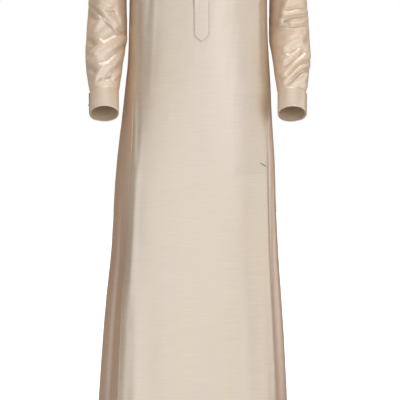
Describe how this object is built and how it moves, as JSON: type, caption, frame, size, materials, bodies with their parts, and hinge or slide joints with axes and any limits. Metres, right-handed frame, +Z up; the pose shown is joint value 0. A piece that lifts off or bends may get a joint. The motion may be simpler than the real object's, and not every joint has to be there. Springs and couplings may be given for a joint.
{
  "type": "thobe robe",
  "caption": "Ankle-length robe with a stand collar, a pointed front placket and long cuffed sleeves, hollow as when worn.",
  "frame": {"origin": "between the two shoulder neck points, level with them, where the wearer's shoulders carry it", "axes": "+Z up, the front faces -Y, the viewer's left as seen from the front is -X"},
  "size_m": [0.6394, 0.3875, 1.5325],
  "materials": {
    "front_cloth": "silky plain weave",
    "back_cloth": "silky plain weave",
    "gore_cloth_left": "silky plain weave",
    "gusset_cloth_left": "silky plain weave",
    "sleeve_cloth_left": "silky plain weave",
    "cuff_cloth_left": "silky plain weave",
    "pocket_cloth_left": "silky plain weave",
    "gore_cloth_right": "silky plain weave",
    "gusset_cloth_right": "silky plain weave",
    "sleeve_cloth_right": "silky plain weave",
    "cuff_cloth_right": "silky plain weave",
    "pocket_cloth_right": "silky plain weave",
    "collar_cloth": "silky plain weave",
    "placket_over_cloth": "silky plain weave",
    "placket_under_cloth": "silky plain weave",
    "button_placket_1_face": "satin",
    "button_placket_2_face": "satin",
    "button_placket_3_face": "satin",
    "button_collar_face": "satin",
    "button_cuff_left_face": "satin",
    "button_cuff_right_face": "satin"
  },
  "bodies": {
    "root": {"front_panel": "front_cloth", "back_panel": "back_cloth", "gore_left": "gore_cloth_left", "gusset_left": "gusset_cloth_left", "sleeve_left": "sleeve_cloth_left", "cuff_left": "cuff_cloth_left", "pocket_left": "pocket_cloth_left", "gore_right": "gore_cloth_right", "gusset_right": "gusset_cloth_right", "sleeve_right": "sleeve_cloth_right", "cuff_right": "cuff_cloth_right", "pocket_right": "pocket_cloth_right", "collar": "collar_cloth", "placket_over": "placket_over_cloth", "placket_under": "placket_under_cloth", "button_placket_1": "button_placket_1_face", "button_placket_2": "button_placket_2_face", "button_placket_3": "button_placket_3_face", "button_collar": "button_collar_face", "button_cuff_left": "button_cuff_left_face", "button_cuff_right": "button_cuff_right_face"}
  },
  "joints": []
}
